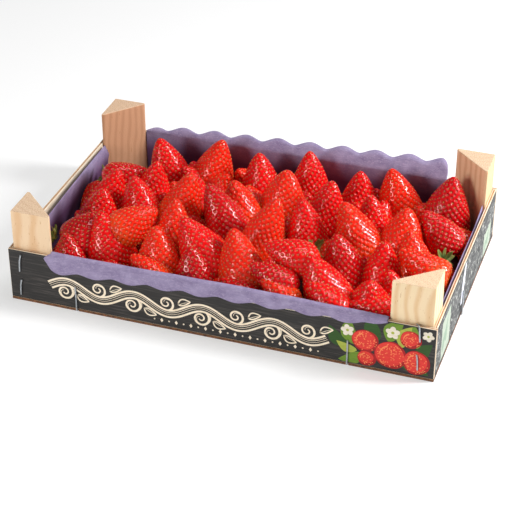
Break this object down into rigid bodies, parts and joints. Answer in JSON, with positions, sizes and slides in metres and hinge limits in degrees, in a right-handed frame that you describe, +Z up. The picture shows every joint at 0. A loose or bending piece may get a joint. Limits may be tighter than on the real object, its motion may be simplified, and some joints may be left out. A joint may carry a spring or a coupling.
{
  "type": "box of strawberries",
  "caption": "Low rectangular wooden fruit tray with triangular corner posts, a scalloped paper liner and a heap of whole strawberries, for display or as a prop.",
  "frame": {"origin": "centre of the whole object's footprint, on the plane that the tray stands on", "axes": "+X to the right along the long printed front, +Y from that front to the back, +Z up"},
  "size_m": [0.4036, 0.2592, 0.0935],
  "materials": {
    "raw_ply": "raw poplar plywood",
    "dark_printed_ply": "plywood with a matte near-black print",
    "grey_printed_ply": "plywood with a matte mottled grey print",
    "sawn_pine": "rough sawn",
    "purple_paper": "matte, slightly fibrous",
    "staple_wire": "bright drawn wire",
    "strawberry_flesh": null
  },
  "bodies": {
    "root": {"base_board": "raw_ply", "front_panel": "dark_printed_ply", "back_panel": "dark_printed_ply", "left_panel": "grey_printed_ply", "right_panel": "grey_printed_ply", "liner": "purple_paper", "strawberries": "strawberry_flesh", "post_front_left": "sawn_pine", "post_front_right": "sawn_pine", "post_back_right": "sawn_pine", "post_back_left": "sawn_pine", "staple_front_base_left": "staple_wire", "staple_front_base_right": "staple_wire", "staple_front_left_top": "staple_wire", "staple_front_left_low": "staple_wire", "staple_front_right_top": "staple_wire", "staple_front_right_low": "staple_wire", "staple_back_base_left": "staple_wire", "staple_back_base_right": "staple_wire", "staple_back_left_top": "staple_wire", "staple_back_left_low": "staple_wire", "staple_back_right_top": "staple_wire", "staple_back_right_low": "staple_wire", "staple_left_base": "staple_wire", "staple_right_base": "staple_wire"}
  },
  "joints": []
}
